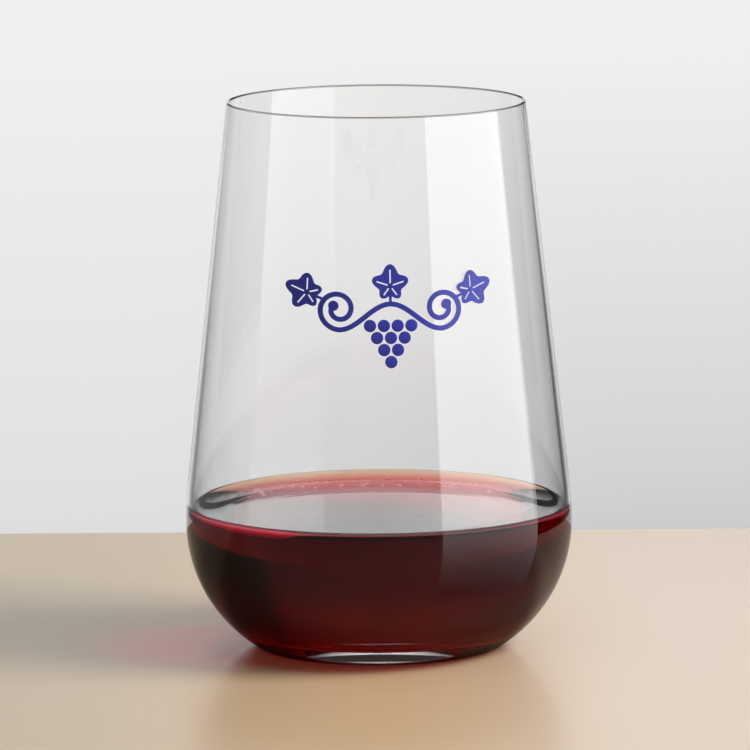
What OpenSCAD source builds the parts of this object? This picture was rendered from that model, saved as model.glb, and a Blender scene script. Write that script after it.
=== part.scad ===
/* [Glass] */
// Height from the table to the rim
glass_h = 122; // [110:1:150]
// Widest outer diameter of the bowl
bowl_d = 86; // [80:1:104]
// Outer diameter at the mouth
mouth_d = 66.2; // [56:0.1:76]
// Radius of the lower bowl, seen from the side
belly_r = 32.5; // [28:0.5:38]
// Radius of the long curve between the belly and the straight wall
shoulder_r = 90; // [60:1:130]
// Radius of the heel between the belly and the foot
heel_r = 4; // [2:0.5:6]
// Angle below level at which the belly turns into the heel
heel_angle = 57.5; // [50:0.5:64]
// Wall thickness at the widest part of the bowl
wall_t = 1.4; // [1:0.1:2]
// Wall thickness at the rim
rim_t = 0.7; // [0.5:0.1:1.6]
// Thickness of the floor above the table
floor_t = 5.6; // [3:0.1:8]
// Radius of the inside of the lower bowl, seen from the side
hollow_r = 28; // [25:0.5:30]
// Radius of the inside corner between the bowl and the floor
corner_r = 12; // [6:0.5:16]
// Width of the flat ring that stands on the table
land_w = 1.2; // [0.6:0.1:3]
// Rise of the hollow under the foot, at its middle
punt_h = 0.9; // [0.3:0.1:2]

/* [Wine] */
// Height of the wine's flat surface above the table
wine_level = 29.5; // [18:0.5:60]
// Height that the wine climbs where it meets the wall
climb_h = 2.7; // [1:0.1:3.2]
// Radius of the curved edge of the wine's surface
climb_r = 3.6; // [3.4:0.1:6]
// Clear space between the wine and the glass
wine_gap = 0.2; // [0.1:0.05:0.4]

/* [Print] */
// Distance from the rim down to the middle line of the printed vine
print_drop = 43; // [32:0.5:56]
// Thickness of the fired colour
print_t = 0.08; // [0.04:0.01:0.2]
// Line width of the vine
vine_w = 1.1; // [0.6:0.1:1.4]
// Half the width of the swag between the two scrolls
swag_w = 11.2; // [10:0.1:14]
// Height of the swag above its middle line
swag_h = 2.8; // [1:0.1:4]
// Radius at which a scroll starts to curl
scroll_r = 4.4; // [4:0.1:6]
// Radius at which a scroll ends
scroll_end_r = 1.3; // [1:0.1:1.8]
// Turns of a scroll
scroll_turns = 1.35; // [1:0.05:1.5]
// Radius of the round eye that ends a scroll
eye_r = 1.1; // [0.8:0.05:1.3]
// Radius of a grape
grape_r = 1.35; // [0.9:0.05:1.5]
// Clear space between two grapes
grape_gap = 0.3; // [0.2:0.05:0.6]
// Number of rows of grapes
grape_rows = 4; // [2:1:5]
// Clear space between the top of the swag and the highest grapes
bunch_gap = 2.8; // [2.4:0.1:4]
// Radius of a leaf, without its lobes
leaf_r = 3.9; // [2.6:0.1:4.4]
// Width of a leaf's veins
vein_w = 0.3; // [0.2:0.05:0.5]
// Length of a leaf's stalk from the middle of the vine
stalk_l = 1.7; // [1.2:0.1:2.4]
// Width of a leaf's stalk
stalk_w = 0.6; // [0.4:0.05:0.8]

/* [Hidden] */
// Facets of each turned surface
$fn = 180;
// Overrun of a cutting shape past what it cuts
over = 1;
// Steps of a curve that is a long stretch of outline, and of a short one
long_steps = 20;
short_steps = 10;
// Steps of one turn of a scroll, and of a leaf's edge
scroll_steps = 48;
leaf_steps = 60;
// Lobes of a leaf, with the depth of their notches and the reach of the tip
leaf_lobes = 5;
lobe_share = 0.15;
tip_share = 0.2;
vein_share = 0.74;
// Angle of a leaf's second and third pair of veins to its middle vein
vein_turn = 360 / leaf_lobes;
// Where a scroll carries its leaf, as an angle round the scroll, and the lean of that leaf
leaf_angle = 34;
leaf_lean = 22;

bowl_rad = bowl_d / 2;
mouth_rad = mouth_d / 2;
// Height of the widest part, and the radius of the foot where the heel meets the table
belt_z = heel_r + (belly_r - heel_r) * sin(heel_angle);
foot_rad = bowl_rad - belly_r + (belly_r - heel_r) * cos(heel_angle);
land_rad = foot_rad - land_w;
// Radius of the ball that the hollow under the foot is a cap of
punt_r = (land_rad * land_rad + punt_h * punt_h) / (2 * punt_h);
// Centres of the side view's curves, each [radius, height]
belly_c = [bowl_rad - belly_r, belt_z];
shoulder_c = [bowl_rad - shoulder_r, belt_z];
heel_c = [foot_rad, heel_r];
rim_c = [mouth_rad - rim_t / 2, glass_h - rim_t / 2];
hollow_c = [bowl_rad - wall_t - hollow_r, belt_z];
corner_drop = belt_z - floor_t - corner_r;
corner_angle = asin(corner_drop / (hollow_r - corner_r));
corner_c = [hollow_c[0] + (hollow_r - corner_r) * cos(corner_angle), floor_t + corner_r];
// Slope of the straight wall, outside and inside, from level
outer_slope = tangent_angle(rim_c, rim_t / 2, shoulder_c, shoulder_r);
inner_slope = tangent_angle(rim_c, -rim_t / 2, shoulder_c, shoulder_r - wall_t);
// Radius of the wine where it meets the wall, and where its edge starts to curve
contact_z = wine_level + climb_h;
contact_rad = inside_rad(contact_z) - wine_gap;
edge_rad = contact_rad - sqrt(climb_r * climb_r - (climb_r - climb_h) * (climb_r - climb_h));
print_z = glass_h - print_drop;
// Distance between the middles of two grapes, and between two rows
grape_pitch = 2 * grape_r + grape_gap;
row_pitch = grape_pitch * cos(30);

// Points of an arc about c, from angle a0 to angle a1
function arc(c, r, a0, a1, steps) =
    [for (i = [0 : steps]) let (a = a0 + (a1 - a0) * i / steps) c + r * [cos(a), sin(a)]];

// Angle of the line that touches two circles on the same side; a negative radius curves the other way
function tangent_angle(p, pr, c, r) =
    let (d = p - c)
    atan2(d[1], d[0]) - acos((r - pr) / norm(d));

// Inside radius of the glass at a height above its widest part
function inside_rad(z) =
    let (
        r = shoulder_r - wall_t,
        turn_z = belt_z + r * sin(inner_slope),
        turn_rad = shoulder_c[0] + r * cos(inner_slope)
    )
    z < turn_z
        ? shoulder_c[0] + sqrt(r * r - (z - belt_z) * (z - belt_z))
        : turn_rad - (z - turn_z) * tan(inner_slope);

// Side view of the outer wall from the heel up to the rim, grown outwards
function outer_wall(grow) = concat(
    arc(belly_c, belly_r + grow, -heel_angle, 0, long_steps),
    arc(shoulder_c, shoulder_r + grow, outer_slope / short_steps, outer_slope, short_steps - 1),
    [rim_c + (rim_t / 2 + grow) * [cos(outer_slope), sin(outer_slope)]]
);

// Side view of the hollow from the floor up to the rim, drawn in by a gap
function inner_wall(gap) = concat(
    [[0, floor_t + gap]],
    arc(corner_c, corner_r - gap, -90, -corner_angle, short_steps),
    arc(hollow_c, hollow_r - gap, -corner_angle * (1 - 1 / long_steps), 0, long_steps - 1),
    arc(shoulder_c, shoulder_r - wall_t - gap, inner_slope / short_steps, inner_slope, short_steps - 1),
    [rim_c - (rim_t / 2 + gap) * [cos(inner_slope), sin(inner_slope)]]
);

function reversed(points) = [for (i = [len(points) - 1 : -1 : 0]) points[i]];

// Half of the glass cut through its axis
function glass_outline() = let (edge_angle = asin(land_rad / punt_r)) concat(
    arc([0, punt_h - punt_r], punt_r, 90, 90 - edge_angle, short_steps),
    arc(heel_c, heel_r, -90, -heel_angle - (90 - heel_angle) / short_steps, short_steps - 1),
    outer_wall(0),
    arc(rim_c, rim_t / 2, outer_slope + 180 / short_steps, inner_slope + 180 - 180 / short_steps, short_steps),
    reversed(inner_wall(0))
);

// Half of the space under the wine's surface, which curves up to the wall
function under_surface() = concat(
    [[0, 0], [bowl_rad, 0], [bowl_rad, contact_z]],
    reversed(arc([edge_rad, wine_level + climb_r], climb_r, -90, -asin(1 - climb_h / climb_r), short_steps)),
    [[0, wine_level]]
);

// Line of a width along a list of points
module stroke(points, w) {
    n = len(points) - 1;
    function way(i) = points[min(i + 1, n)] - points[max(i - 1, 0)];
    function side(i) = let (t = way(i) / norm(way(i))) w / 2 * [-t[1], t[0]];
    polygon(concat(
        [for (i = [0 : n]) points[i] + side(i)],
        [for (i = [n : -1 : 0]) points[i] - side(i)]
    ));
}

// Middle line of the right half of the vine: half a swag, then a scroll that curls in
function scroll_rad(turn) = scroll_r + (scroll_end_r - scroll_r) * turn / scroll_turns;
function scroll_point(angle) = let (r = scroll_rad((angle + 90) / 360))
    [swag_w, scroll_r - swag_h] + r * [cos(angle), sin(angle)];
function swag_points() =
    [for (i = [0 : long_steps - 1]) [swag_w * i / long_steps, swag_h * cos(180 * i / long_steps)]];
function scroll_points() = let (n = round(scroll_steps * scroll_turns))
    [for (i = [0 : n]) scroll_point(-90 + 360 * scroll_turns * i / n)];

// Edge of a leaf that points along +X, about the point where its veins meet
function leaf_edge(a) =
    leaf_r * (1 - lobe_share + lobe_share * cos(leaf_lobes * a)) * (1 + tip_share * cos(a));

// Leaf on a stalk that starts at the origin
module leaf() {
    reach = stalk_l + leaf_edge(180);
    translate([0, -stalk_w / 2])
        square([reach, stalk_w]);
    translate([reach, 0])
        difference() {
            polygon([
                for (i = [0 : leaf_steps - 1])
                    let (a = 360 * i / leaf_steps) leaf_edge(a) * [cos(a), sin(a)]
            ]);
            for (k = [-2 : 2])
                rotate(k * vein_turn)
                    translate([stalk_w, -vein_w / 2])
                        square([leaf_edge(k * vein_turn) * vein_share - stalk_w, vein_w]);
        }
}

module half_vine() {
    stroke(concat(swag_points(), scroll_points()), vine_w);
    translate(scroll_point(360 * scroll_turns - 90))
        circle(r = eye_r);
    translate(scroll_point(leaf_angle))
        rotate(leaf_lean)
            leaf();
}

// Rows of round grapes that narrow to one
module bunch() {
    top_z = swag_h - vine_w / 2 - bunch_gap - grape_r;
    for (row = [0 : grape_rows - 1])
        for (i = [0 : grape_rows - 1 - row])
            translate([(i - (grape_rows - 1 - row) / 2) * grape_pitch, top_z - row * row_pitch])
                circle(r = grape_r);
}

module ornament() {
    half_vine();
    mirror([1, 0])
        half_vine();
    translate([0, swag_h])
        rotate(90)
            leaf();
    bunch();
}

// One blown glass: thin tapering wall, round bowl and thick foot
module glass() {
    color("gainsboro", 0.35)
        rotate_extrude()
            polygon(glass_outline());
}

// Poured wine, up to its curved edge
module wine() {
    color("maroon")
        rotate_extrude()
            intersection() {
                polygon(concat(inner_wall(wine_gap), [[0, glass_h]]));
                polygon(under_surface());
            }
}

// Ornament in blue enamel, fired onto the front of the wall
module print() {
    color("mediumblue")
        intersection() {
            rotate_extrude()
                polygon(concat(outer_wall(print_t), reversed(outer_wall(0))));
            translate([0, 0, print_z])
                rotate([90, 0, 0])
                    linear_extrude(bowl_rad + over)
                        ornament();
        }
}

glass();
wine();
print();
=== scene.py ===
"""Stemless wine glass with a pour of red wine and a vine printed in blue enamel.

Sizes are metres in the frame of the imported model: the glass stands on z = 0 and its axis is +Z.
"""

import logging
import math
from dataclasses import dataclass
from enum import Enum
from functools import reduce

import bmesh
import bpy
from mathutils import Matrix, Vector
from mathutils.geometry import tessellate_polygon


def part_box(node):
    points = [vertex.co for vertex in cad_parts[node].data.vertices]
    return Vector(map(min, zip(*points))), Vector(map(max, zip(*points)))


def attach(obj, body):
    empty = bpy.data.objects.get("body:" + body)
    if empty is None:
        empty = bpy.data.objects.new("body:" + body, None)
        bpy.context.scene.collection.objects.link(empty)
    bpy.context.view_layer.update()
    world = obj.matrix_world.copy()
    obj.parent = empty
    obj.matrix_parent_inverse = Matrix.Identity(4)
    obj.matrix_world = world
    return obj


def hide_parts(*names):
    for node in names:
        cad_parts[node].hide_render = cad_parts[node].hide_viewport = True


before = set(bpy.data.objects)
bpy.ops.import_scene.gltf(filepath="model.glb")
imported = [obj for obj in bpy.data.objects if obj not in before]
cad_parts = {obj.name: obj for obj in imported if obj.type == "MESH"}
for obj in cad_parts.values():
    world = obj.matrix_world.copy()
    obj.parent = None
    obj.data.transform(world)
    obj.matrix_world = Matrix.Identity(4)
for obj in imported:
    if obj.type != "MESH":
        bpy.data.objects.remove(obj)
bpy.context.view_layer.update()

Object = bpy.types.Object
Material = bpy.types.Material
Socket = bpy.types.NodeSocket
Point = tuple[float, float]
Column = tuple[float, float, float]
Colour = tuple[float, float, float]
Value = Socket | float
Line = list[Vector]

MM = 0.001
# Points nearer to each other than this are one.
SAME_PLACE = 1e-9
# A ray's glossy or transmission depth is above this once it has had a bounce of that kind.
ONE_BOUNCE = 0.5
# The curve from a colour on a screen to a linear one: a straight toe, then a power.
TOE_END, TOE_SLOPE, CURVE_OFFSET, CURVE_POWER = 0.04045, 12.92, 0.055, 2.4
# A Mix node's sockets for the share and the two colours, and the one for the mixed colour.
MIX_IN, MIX_OUT = (0, 6, 7), 2
WETTED = "wetted"
TONE = "tone"
DEPTH = "depth"
WHITE = (255, 255, 255)
BLACK = (0, 0, 0)
log = logging.getLogger("glass")


class Body(Enum):
    """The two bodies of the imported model."""

    TUMBLER = "tumbler"
    POUR = "pour"


class Slot(Enum):
    """The record's material slots."""

    GLASS = "clear_glass"
    ENAMEL = "blue_enamel"
    WINE = "red_wine"


class Ray(Enum):
    """The kinds of ray that see the pale surroundings as they are written."""

    CAMERA = "Is Camera Ray"
    GLOSSY = "Is Glossy Ray"
    TRANSMISSION = "Is Transmission Ray"


def arc(centre: Point, radius: float, start: float, end: float, steps: int) -> list[Point]:
    """Points along an arc of a side view.

    Args:
        centre: Distance from the axis and height of the centre.
        radius: Radius of the arc.
        start: First angle in degrees, from level.
        end: Last angle in degrees.
        steps: Number of equal steps.

    Returns:
        The points, each a distance from the axis and a height.
    """
    turns = [math.radians(start + (end - start) * i / steps) for i in range(steps + 1)]
    return [(centre[0] + radius * math.cos(a), centre[1] + radius * math.sin(a)) for a in turns]


def between(first: tuple[float, ...], last: tuple[float, ...], share: float) -> tuple[float, ...]:
    """Numbers at a share of the way from one row of them to another."""
    return tuple(a + (b - a) * share for a, b in zip(first, last))


def srgb(colour: Colour) -> tuple[float, ...]:
    """Colour for a shader.

    Args:
        colour: Red, green and blue from 0 to 255, as a screen shows them.

    Returns:
        The linear colour with a full alpha.
    """
    shares = [v / 255 for v in colour]
    scale = 1 + CURVE_OFFSET
    linear = [v / TOE_SLOPE if v <= TOE_END else ((v + CURVE_OFFSET) / scale) ** CURVE_POWER for v in shares]
    return (*linear, 1.0)


class NodeMaker:
    """Adds nodes to a tree and sets or links their inputs."""

    def __init__(self, tree: bpy.types.NodeTree) -> None:
        """Takes an empty tree."""
        self.tree = tree

    def add(self, kind: str, inputs: dict | None = None, **settings: object) -> bpy.types.Node:
        """Adds one node.

        Args:
            kind: Type of the node.
            inputs: Value or output socket for each input, by name or number.
            **settings: Properties of the node itself.

        Returns:
            The new node.
        """
        node = self.tree.nodes.new(kind)
        for key, value in settings.items():
            setattr(node, key, value)
        for key, value in (inputs or {}).items():
            if isinstance(value, Socket):
                self.tree.links.new(value, node.inputs[key])
            else:
                node.inputs[key].default_value = value
        return node

    def math(self, operation: str, first: Value, second: Value = 0.0) -> Socket:
        """Adds a Math node."""
        return self.add("ShaderNodeMath", {0: first, 1: second}, operation=operation).outputs[0]

    def plus(self, first: Value, second: Value) -> Socket:
        """Adds a sum."""
        return self.math("ADD", first, second)

    def minus(self, first: Value, second: Value) -> Socket:
        """Adds a difference."""
        return self.math("SUBTRACT", first, second)

    def times(self, *factors: Value) -> Socket:
        """Adds a product."""
        return reduce(lambda first, second: self.math("MULTIPLY", first, second), factors)

    def vector(self, x: Value, y: Value, z: Value) -> Socket:
        """Adds a vector of three numbers."""
        return self.add("ShaderNodeCombineXYZ", {0: x, 1: y, 2: z}).outputs[0]

    def split(self, vector: Socket) -> list[Socket]:
        """Adds the three numbers of a vector."""
        return list(self.add("ShaderNodeSeparateXYZ", {0: vector}).outputs)

    def place(self) -> Socket:
        """Adds the place in the object's own frame."""
        return self.add("ShaderNodeTexCoord").outputs["Object"]

    def attribute(self, name: str) -> Socket:
        """Adds the value of a mesh's attribute."""
        return self.add("ShaderNodeAttribute", attribute_name=name).outputs["Fac"]

    def noise(self, place: Socket, scale: float, detail: float = 1.0) -> Socket:
        """Adds a noise from 0 to 1."""
        return self.add("ShaderNodeTexNoise", {"Vector": place, "Scale": scale, "Detail": detail}).outputs[0]

    def bump(self, height: Socket, distance: float) -> Socket:
        """Adds a normal that a height from 0 to 1 tilts, which stands for that distance."""
        return self.add("ShaderNodeBump", {"Height": height, "Distance": distance}).outputs["Normal"]

    def mix(self, share: Value, first: Socket | Colour, second: Socket | Colour) -> Socket:
        """Adds a mix of two colours, all of the second at a share of 1."""
        ends = [end if isinstance(end, Socket) else srgb(end) for end in (first, second)]
        return self.add("ShaderNodeMix", dict(zip(MIX_IN, (share, *ends))), data_type="RGBA").outputs[MIX_OUT]

    def blend(self, share: Value, first: Socket, second: Socket) -> Socket:
        """Adds a mix of two shaders, all of the second at a share of 1."""
        return self.add("ShaderNodeMixShader", {0: share, 1: first, 2: second}).outputs[0]

    def ramp(self, value: Value, low: float, high: float, kind: str = "SMOOTHSTEP") -> Socket:
        """Adds a ramp from 0 at a low value to 1 at a high one."""
        inputs = {"Value": value, "From Min": low, "From Max": high}
        return self.add("ShaderNodeMapRange", inputs, interpolation_type=kind).outputs[0]

    def surface(self, inputs: dict) -> Socket:
        """Adds a Principled shader."""
        return self.add("ShaderNodeBsdfPrincipled", inputs).outputs[0]

    def clear(self, ior: float, inputs: dict) -> Socket:
        """Adds a Principled shader that light passes through."""
        return self.surface({"IOR": ior, "Roughness": 0.0, "Transmission Weight": 1.0, **inputs})

    def dry_share(self) -> Socket:
        """Adds a share: 1 where a surface meets air and 0 where glass and wine touch."""
        return self.minus(1.0, self.attribute(WETTED))

    def seen_as_written(self) -> Socket:
        """Adds a share: 1 for each kind of ray in Ray and 0 for the rest."""
        path = self.add("ShaderNodeLightPath").outputs
        return self.math("MINIMUM", reduce(self.plus, [path[ray.value] for ray in Ray]), 1.0)


class MaterialMaker(NodeMaker):
    """Makes one material."""

    def __init__(self, name: str) -> None:
        """Starts the material.

        Args:
            name: Name of the material.
        """
        self.material = bpy.data.materials.new(name)
        self.material.use_nodes = True
        self.material.node_tree.nodes.clear()
        super().__init__(self.material.node_tree)

    def shown(self, surface: Socket, **more: Socket) -> Material:
        """Adds the output node and returns the material."""
        self.add("ShaderNodeOutputMaterial", {"Surface": surface, **more})
        return self.material


class GeometryTree:
    """A Geometry Nodes tree with named number inputs, whose result becomes a plain mesh."""

    def __init__(self, name: str, numbers: dict[str, float]) -> None:
        """Starts the tree.

        Args:
            name: Name of the tree.
            numbers: Value of each of its inputs, by name.
        """
        self.tree = bpy.data.node_groups.new(name, "GeometryNodeTree")
        self.nodes = NodeMaker(self.tree)
        self.values = {}
        for label, value in numbers.items():
            self.values[self.socket(label, "NodeSocketFloat")] = float(value)
        self.paint = self.socket("Material", "NodeSocketMaterial")
        self.tree.interface.new_socket("Geometry", in_out="OUTPUT", socket_type="NodeSocketGeometry")
        self.given = self.nodes.add("NodeGroupInput").outputs

    def socket(self, label: str, kind: str) -> str:
        """Adds an input and returns its identifier."""
        return self.tree.interface.new_socket(label, in_out="INPUT", socket_type=kind).identifier

    def close(self, geometry: Socket) -> None:
        """Ends the tree: real, smooth meshes that wear the Material input.

        Args:
            geometry: What the tree has made.
        """
        real = self.nodes.add("GeometryNodeRealizeInstances", {0: geometry}).outputs[0]
        smooth = self.nodes.add("GeometryNodeSetShadeSmooth", {0: real}).outputs[0]
        worn = self.nodes.add("GeometryNodeSetMaterial", {0: smooth, "Material": self.given["Material"]})
        self.nodes.add("NodeGroupOutput", {0: worn.outputs[0]})

    def moved(self, geometry: Socket, places: Socket) -> Socket:
        """Adds a move of each point to its place."""
        return self.nodes.add("GeometryNodeSetPosition", {0: geometry, "Position": places}).outputs[0]

    def points(self, count: Value, places: Socket) -> Socket:
        """Adds a number of points and moves them to their places."""
        return self.moved(self.nodes.add("GeometryNodeMeshLine", {"Count": count}).outputs[0], places)

    def ball(self, segments: int, rings: int, radius: Value) -> Socket:
        """Adds a sphere."""
        inputs = {"Segments": segments, "Rings": rings, "Radius": radius}
        return self.nodes.add("GeometryNodeMeshUVSphere", inputs).outputs[0]

    def scaled(self, geometry: Socket, scale: Socket) -> Socket:
        """Adds a change of size along the three axes."""
        return self.nodes.add("GeometryNodeTransform", {0: geometry, "Scale": scale}).outputs[0]

    def piece(self, name: str, material: Material) -> Object:
        """Runs the tree once.

        Args:
            name: Name of the piece.
            material: Material that it wears.

        Returns:
            A plain mesh object with no modifier.
        """
        piece = placed(name, bpy.data.meshes.new(name))
        run = piece.modifiers.new(name, "NODES")
        run.node_group = self.tree
        for identifier, value in self.values.items():
            run[identifier] = value
        run[self.paint] = material
        depsgraph = bpy.context.evaluated_depsgraph_get()
        mesh = bpy.data.meshes.new_from_object(piece.evaluated_get(depsgraph), depsgraph=depsgraph)
        piece.modifiers.remove(run)
        piece.data = mesh
        return piece


@dataclass(frozen=True)
class BlownGlass:
    """Clear blown glass with the faint waves that blowing leaves. Its fire-polished rim is tinted a shade
    darker: painted shade.
    """

    rim_z: float
    name: str = "blown_glass"
    ior: float = 1.5
    wave_scale: float = 30.0
    wave_height: float = 0.004 * MM
    # Painted shade: the glass's top rim_deep is tinted grey, a dark line along the rim.
    rim_painted_shade: Colour = (188, 188, 190)
    rim_deep: float = 0.42 * MM

    def material(self) -> Material:
        """Builds the material.

        Returns:
            The material.
        """
        nodes = MaterialMaker(self.name)
        place = nodes.place()
        # Mask of the rim's painted shade.
        rim = nodes.math("GREATER_THAN", nodes.split(place)[2], self.rim_z - self.rim_deep)
        return nodes.shown(nodes.clear(self.ior, {
            "Base Color": nodes.mix(rim, WHITE, self.rim_painted_shade), "Specular Tint": nodes.dry_share(),
            "Normal": nodes.bump(nodes.noise(place, self.wave_scale), self.wave_height),
        }))


@dataclass(frozen=True)
class RedWine:
    """Red wine: clear, with each colour of light soaked up at its own rate, per metre."""

    name: str = "red_wine"
    ior: float = 1.345
    red_loss: float = 39.0
    green_loss: float = 450.0
    blue_loss: float = 360.0
    density: float = 500.0

    def material(self) -> Material:
        """Builds the material.

        Returns:
            The material.
        """
        nodes = MaterialMaker(self.name)
        kept = [1 - loss / self.density for loss in (self.red_loss, self.green_loss, self.blue_loss)]
        soak = nodes.add("ShaderNodeVolumeAbsorption", {"Color": (*kept, 1.0), "Density": self.density})
        clear = nodes.clear(self.ior, {"Base Color": srgb(WHITE), "Specular Tint": nodes.dry_share()})
        return nodes.shown(clear, Volume=soak.outputs[0])


@dataclass(frozen=True)
class BubbleFilm:
    """Thin film of wine round a bubble, with a faint pink tint at its foot and a painted highlight: its
    outline glows.
    """

    name: str = "bubble_film"
    ior: float = 1.33
    high: Colour = (255, 250, 250)
    low: Colour = (250, 215, 215)
    foot_z: float = 29.5 * MM
    crown_z: float = 30.3 * MM
    painted_outline_glow: float = 0.8
    outline_power: float = 3.0

    def material(self) -> Material:
        """Builds the material.

        Returns:
            The material.
        """
        nodes = MaterialMaker(self.name)
        up = nodes.ramp(nodes.split(nodes.place())[2], self.foot_z, self.crown_z, "LINEAR")
        tint = nodes.mix(up, self.low, self.high)
        # Painted highlight: the film glows where it turns away from the camera, which draws a bright outline.
        facing = nodes.add("ShaderNodeLayerWeight").outputs["Facing"]
        outline = nodes.math("POWER", facing, self.outline_power)
        return nodes.shown(nodes.clear(self.ior, {
            "Base Color": tint, "Emission Color": tint,
            "Emission Strength": nodes.times(outline, self.painted_outline_glow),
        }))


@dataclass(frozen=True)
class PaintedEdgeGlow:
    """Painted light: a glow for the light that gathers in the thin wedge of wine at the glass, by depth in
    millimetres below its top. It glows, though it is no lamp.
    """

    name: str = "wine_edge_painted_glow"
    tones: tuple[tuple[float, Colour], ...] = (
        (0.0, (182, 104, 112)), (0.55, (172, 36, 56)), (0.85, (140, 14, 32)), (1.2, (104, 10, 24)),
        (1.7, (64, 8, 16)),
    )
    deepest: float = 2.0
    roughness: float = 0.6
    glow: float = 0.7

    def material(self) -> Material:
        """Builds the material.

        Returns:
            The material.
        """
        nodes = MaterialMaker(self.name)
        depth = nodes.math("DIVIDE", nodes.attribute(DEPTH), self.deepest)
        ramp = nodes.add("ShaderNodeValToRGB", {0: depth})
        stops = ramp.color_ramp.elements
        for _ in self.tones[2:]:
            stops.new(1.0)
        for (deep, colour), stop in zip(self.tones, list(stops)):
            stop.position = deep / self.deepest
            stop.color = srgb(colour)
        colour = nodes.mix(nodes.attribute(TONE), BLACK, ramp.outputs[0])
        # Painted light: the band glows in its own colour.
        return nodes.shown(nodes.surface({
            "Base Color": colour, "Roughness": self.roughness, "Specular IOR Level": 0.0,
            "Emission Color": colour, "Emission Strength": self.glow,
        }))


@dataclass(frozen=True)
class BlueEnamel:
    """Fired blue enamel: satin, with a faint mottle and the grain of the screen that printed it."""

    name: str = "blue_enamel"
    light: Colour = (40, 46, 163)
    dark: Colour = (30, 36, 147)
    roughness: float = 0.32
    mottle_scale: float = 900.0
    mottle_detail: float = 3.0
    grain_scale: float = 5200.0
    grain_height: float = 0.006 * MM

    def material(self) -> Material:
        """Builds the material.

        Returns:
            The material.
        """
        nodes = MaterialMaker(self.name)
        place = nodes.place()
        mottle = nodes.noise(place, self.mottle_scale, self.mottle_detail)
        return nodes.shown(nodes.surface({
            "Base Color": nodes.mix(mottle, self.dark, self.light), "Roughness": self.roughness,
            "Normal": nodes.bump(nodes.noise(place, self.grain_scale), self.grain_height),
        }))


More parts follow.
